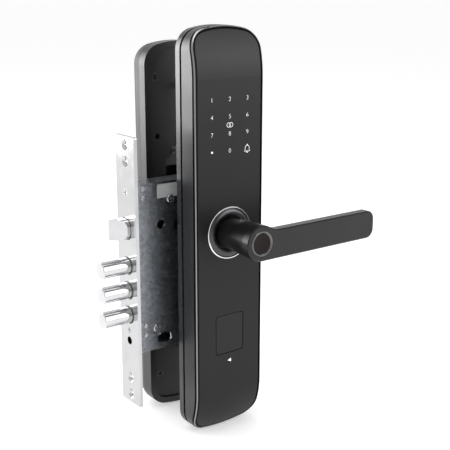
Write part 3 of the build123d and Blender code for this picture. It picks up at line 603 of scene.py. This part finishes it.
# ---- latch and round bolts ------------------------------------------------------------------------
# The latch head is cast and the three bolts are turned bars. All are hardened and polished, with
# fine lines along the way they slide.

bolt_polish = metal("bolt_polish", (0.6, 0.6, 0.61), (0.5, 0.5, 0.51), 0.07, 0.16, along=(0.02, 1.0, 1.0))
finish_nodes(bolt_polish, "stop_pin", "latch_bolt", "deadbolt_top", "deadbolt_middle", "deadbolt_bottom")

# Each round bolt slides in a thin pressed collar that stands on the forend. The collars' dark colour is
# also painted shade for the line where each bolt meets the forend.


def new_tree(name, sizes):
    """A Geometry Nodes tree with a geometry input, named sizes and a geometry output."""
    tree = bpy.data.node_groups.new(name, "GeometryNodeTree")
    socket(tree, "Places", "NodeSocketGeometry", "INPUT")
    for label, value in sizes:
        socket(tree, label, "NodeSocketFloat", "INPUT", value)
    socket(tree, "Geometry", "NodeSocketGeometry", "OUTPUT")
    return tree, add(tree, "NodeGroupInput").outputs, add(tree, "NodeGroupOutput").inputs[0]


def close_tree(tree, instances, material, out):
    """Realizes the instances, gives them their finish and ends the tree."""
    real = add(tree, "GeometryNodeRealizeInstances")
    paint = add(tree, "GeometryNodeSetMaterial")
    paint.inputs["Material"].default_value = material
    tree.links.new(instances, real.inputs[0])
    tree.links.new(real.outputs[0], paint.inputs["Geometry"])
    tree.links.new(paint.outputs[0], out)


def grow(name, tree, places, sizes, body, turns=None):
    """Runs a tree on a set of points and keeps the result as a plain mesh on a body."""
    seeds = bpy.data.meshes.new(name + "_places")
    seeds.from_pydata(places, [], [])
    if turns:
        seeds.attributes.new("turn", "FLOAT", "POINT").data.foreach_set("value", turns)
    maker = bpy.data.objects.new(name + "_maker", seeds)
    bpy.context.scene.collection.objects.link(maker)
    modifier = maker.modifiers.new("grow", "NODES")
    modifier.node_group = tree
    for item in tree.interface.items_tree:
        if item.in_out == "INPUT" and item.name in sizes:
            modifier[item.identifier] = sizes[item.name]
    bpy.context.view_layer.update()
    mesh = bpy.data.meshes.new_from_object(maker.evaluated_get(bpy.context.evaluated_depsgraph_get()))
    maker.modifiers.remove(modifier)
    bpy.data.objects.remove(maker)
    mesh.name = name
    for face in mesh.polygons:
        face.use_smooth = True
    piece = bpy.data.objects.new(name, mesh)
    bpy.context.scene.collection.objects.link(piece)
    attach(piece, body)
    return piece


def collar_tree():
    """A round wire ring about X at each place."""
    tree, ends, out = new_tree("bolt_collars", (("Ring Radius", 0.008), ("Wire Radius", 0.0005)))
    ring = add(tree, "GeometryNodeCurvePrimitiveCircle")
    ring.inputs["Resolution"].default_value = 48
    wire = add(tree, "GeometryNodeCurvePrimitiveCircle")
    wire.inputs["Resolution"].default_value = 10
    sweep = add(tree, "GeometryNodeCurveToMesh")
    spots = add(tree, "GeometryNodeInstanceOnPoints")
    tree.links.new(ends["Ring Radius"], ring.inputs["Radius"])
    tree.links.new(ends["Wire Radius"], wire.inputs["Radius"])
    tree.links.new(ring.outputs[0], sweep.inputs["Curve"])
    tree.links.new(wire.outputs[0], sweep.inputs["Profile Curve"])
    tree.links.new(ends["Places"], spots.inputs["Points"])
    tree.links.new(sweep.outputs[0], spots.inputs["Instance"])
    spots.inputs["Rotation"].default_value = (0.0, math.radians(90), 0.0)
    close_tree(tree, spots.outputs[0], collar_steel_and_painted_shade, out)
    return tree


# Painted shade: this dark steel makes each collar read as the shadow line at the base of its bolt.
collar_steel_and_painted_shade = metal("collar_steel_and_painted_shade", (0.16, 0.16, 0.16), (0.08, 0.08, 0.08), 0.2, 0.4, along=(1.0, 1.0, 1.0),
                     lines=1200.0)
bolt_centres = [(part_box("deadbolt_" + name)[0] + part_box("deadbolt_" + name)[1]) / 2
                for name in ("top", "middle", "bottom")]
forend_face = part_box("forend")[0].x
grow("bolt_collars", collar_tree(), [(forend_face, c.y, c.z) for c in bolt_centres],
     {"Ring Radius": 0.0079, "Wire Radius": 0.0004}, "lock")

# ---- inside unit ----------------------------------------------------------------------------------
# The inside unit is a coated shell with a sheet steel plate screwed into its back. The plate is
# black lacquered and takes the through bolts.

shell_coat = skinned("shell_coat", (0.01, 0.01, 0.0105), (0.028, 0.028, 0.029), 0.32, 0.44, 0.000012)
finish_nodes(shell_coat, "inside_housing", "thumb_turn")
plate_lacquer = skinned("plate_lacquer", (0.012, 0.011, 0.012), (0.024, 0.023, 0.024), 0.42, 0.55, 0.00001)
finish_nodes(plate_lacquer, "mounting_plate")
dark_screw = metal("dark_screw", (0.12, 0.12, 0.12), (0.06, 0.06, 0.06), 0.35, 0.5, along=(1.0, 1.0, 1.0))
finish_nodes(dark_screw, "plate_screws")

# ---- battery compartment --------------------------------------------------------------------------
# Four cells lie in a moulded tray under a cover that slides up. The cells have printed sleeves with
# a light band at each end, and the cover is spark-textured plastic.

cover_plastic = skinned("cover_plastic", (0.022, 0.022, 0.023), (0.05, 0.05, 0.05), 0.45, 0.58, 0.00003,
                        grain=1300.0, cloud=30.0)
finish_nodes(cover_plastic, "battery_cover", "battery_holder")
sleeve_print_end = 0.016
sleeve_end = 0.0238


def make_cell_material():
    """A printed sleeve that ends in light bands, with the bare steel ends of the can beyond them."""
    material, tree, shader, bump, place = start_material("cell_sleeve", 0.0, 0.000004)
    parts = add(tree, "ShaderNodeSeparateXYZ")
    tree.links.new(place, parts.inputs[0])
    far = maths(tree, "ABSOLUTE", parts.outputs[0])
    band = maths(tree, "GREATER_THAN", far, sleeve_print_end)
    steel = maths(tree, "GREATER_THAN", far, sleeve_end)
    print_wear = noise(tree, place, 500.0, 3.0)
    sleeve = mixed(tree, maths(tree, "MULTIPLY", print_wear, 0.3),
                   (0.03, 0.06, 0.16, 1), (0.08, 0.12, 0.24, 1))
    banded = mixed(tree, band, sleeve, (0.55, 0.55, 0.52, 1))
    tree.links.new(mixed(tree, steel, banded, (0.7, 0.7, 0.7, 1)), shader.inputs["Base Color"])
    tree.links.new(steel, shader.inputs["Metallic"])
    tree.links.new(spread(tree, print_wear, 0.3, 0.7, 0.22, 0.34), shader.inputs["Roughness"])
    tree.links.new(print_wear, bump.inputs["Height"])
    return material


finish_nodes(make_cell_material(), "batteries")


def contact_tree():
    """A tapered coil of wire at each place, leant over by the place's turn about Y."""
    tree, ends, out = new_tree("contact_springs", (("Foot Radius", 0.0032), ("Tip Radius", 0.0018),
                                                   ("Height", 0.0026), ("Wire Radius", 0.00025)))
    coil = add(tree, "GeometryNodeCurveSpiral")
    coil.inputs["Resolution"].default_value = 20
    coil.inputs["Rotations"].default_value = 3.0
    tree.links.new(ends["Foot Radius"], coil.inputs["Start Radius"])
    tree.links.new(ends["Tip Radius"], coil.inputs["End Radius"])
    tree.links.new(ends["Height"], coil.inputs["Height"])
    wire = add(tree, "GeometryNodeCurvePrimitiveCircle")
    wire.inputs["Resolution"].default_value = 8
    tree.links.new(ends["Wire Radius"], wire.inputs["Radius"])
    sweep = add(tree, "GeometryNodeCurveToMesh")
    sweep.inputs["Fill Caps"].default_value = True
    tree.links.new(coil.outputs[0], sweep.inputs["Curve"])
    tree.links.new(wire.outputs[0], sweep.inputs["Profile Curve"])
    turn = add(tree, "GeometryNodeInputNamedAttribute", data_type="FLOAT")
    turn.inputs["Name"].default_value = "turn"
    lean = add(tree, "ShaderNodeCombineXYZ")
    tree.links.new(turn.outputs["Attribute"], lean.inputs[1])
    spots = add(tree, "GeometryNodeInstanceOnPoints")
    tree.links.new(ends["Places"], spots.inputs["Points"])
    tree.links.new(sweep.outputs[0], spots.inputs["Instance"])
    tree.links.new(lean.outputs[0], spots.inputs["Rotation"])
    close_tree(tree, spots.outputs[0], spring_wire, out)
    return tree


cells_low, cells_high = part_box("batteries")
cell_radius = 0.0071
cell_pitch = 0.015
spring_foot_x = 0.0271
cell_y = (cells_low.y + cells_high.y) / 2
cell_z = [cells_low.z + cell_radius + cell_pitch * i for i in range(4)]
sides = [1 if i % 2 == 0 else -1 for i in range(4)]
grow("contact_springs", contact_tree(), [(side * spring_foot_x, cell_y, z) for side, z in zip(sides, cell_z)],
     {"Foot Radius": 0.0032, "Tip Radius": 0.0018, "Height": 0.0026, "Wire Radius": 0.00025}, "lock",
     turns=[-math.radians(90) * side for side in sides])

# ---- room -----------------------------------------------------------------------------------------
# A plain pale card lies under the lock and reaches far behind it, lit by a bright surround and by
# three large soft lamps: above, behind on the left, and in front on the right.

floor_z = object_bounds()[0][2] - 0.0006
floor_half = 40


def make_floor():
    """The pale card, which belongs to the stage and not to the lock."""
    material, tree, shader, bump, place = start_material("pale_floor", 0.0, 0.00002)
    shader.inputs["Roughness"].default_value = 0.9
    shader.inputs["Emission Color"].default_value = (1.0, 1.0, 1.0, 1)
    shader.inputs["Emission Strength"].default_value = 0.36
    fibres = noise(tree, place, 300.0, 3.0)
    paper = mixed(tree, fibres, (0.78, 0.78, 0.78, 1), (0.82, 0.82, 0.82, 1))
    tree.links.new(paper, shader.inputs["Base Color"])
    tree.links.new(fibres, bump.inputs["Height"])
    shape = bmesh.new()
    corners = ((-1, -1), (1, -1), (1, 1), (-1, 1))
    shape.faces.new([shape.verts.new((floor_half * x, floor_half * y, floor_z)) for x, y in corners])
    mesh = bpy.data.meshes.new("floor")
    shape.to_mesh(mesh)
    shape.free()
    mesh.materials.append(material)
    floor = bpy.data.objects.new("floor", mesh)
    bpy.context.scene.collection.objects.link(floor)


make_floor()


def lamp(name, place, aim, width, height, power, fan=180):
    """A large soft lamp with its power in watts and its fan in degrees."""
    light = bpy.data.lights.new(name, "AREA")
    light.shape = "RECTANGLE"
    light.size = width
    light.size_y = height
    light.energy = power
    light.spread = math.radians(fan)
    stand = bpy.data.objects.new(name, light)
    bpy.context.scene.collection.objects.link(stand)
    stand.location = place
    stand.rotation_euler = (Vector(aim) - Vector(place)).to_track_quat("-Z", "Y").to_euler()
    stand.visible_camera = False


lamp("top_lamp", (-0.3, 0.2, 1.7), (0, 0, 0.1), 1.4, 1.4, 20)
lamp("back_left_lamp", (-0.66, 0.95, 0.36), (0, 0, 0.3), 0.9, 0.9, 3.5, 70)
lamp("front_right_lamp", (0.8, -1.08, 0.75), (0, 0, 0.4), 1.1, 1.5, 5, 80)

world = bpy.data.worlds.new("studio")
bpy.context.scene.world = world
world.use_nodes = True
sky = world.node_tree
back = sky.nodes["Background"]
direction = add(sky, "ShaderNodeTexCoord").outputs["Generated"]
dark_side = add(sky, "ShaderNodeVectorMath", operation="DOT_PRODUCT")
sky.links.new(direction, dark_side.inputs[0])
dark_side.inputs[1].default_value = (0.6, -0.8, 0.0)
ramp = add(sky, "ShaderNodeValToRGB")
sky.links.new(dark_side.outputs["Value"], ramp.inputs[0])
ramp.color_ramp.elements[0].position = 0.1
ramp.color_ramp.elements[0].color = (1.0, 1.0, 1.0, 1)
ramp.color_ramp.elements[1].position = 0.75
ramp.color_ramp.elements[1].color = (0.1, 0.1, 0.1, 1)
seen = add(sky, "ShaderNodeLightPath").outputs["Is Camera Ray"]
sky.links.new(mixed(sky, seen, ramp.outputs[0], (1.0, 1.0, 1.0, 1)), back.inputs["Color"])
back.inputs["Strength"].default_value = 0.95
bpy.context.scene.view_settings.view_transform = "Standard"

# ---- camera ---------------------------------------------------------------------------------------
# A short telephoto a little above the lock and to its left, looking down at it.

lens = bpy.data.cameras.new("camera")
lens.sensor_width = 36.0
lens.lens = 73.92
lens.clip_end = 100.0
camera = bpy.data.objects.new("camera", lens)
bpy.context.scene.collection.objects.link(camera)
camera.location = (-0.4586, -0.6335, 0.2068)
camera.rotation_euler = (math.radians(75.255), 0.0, math.radians(-36.78))
bpy.context.scene.camera = camera
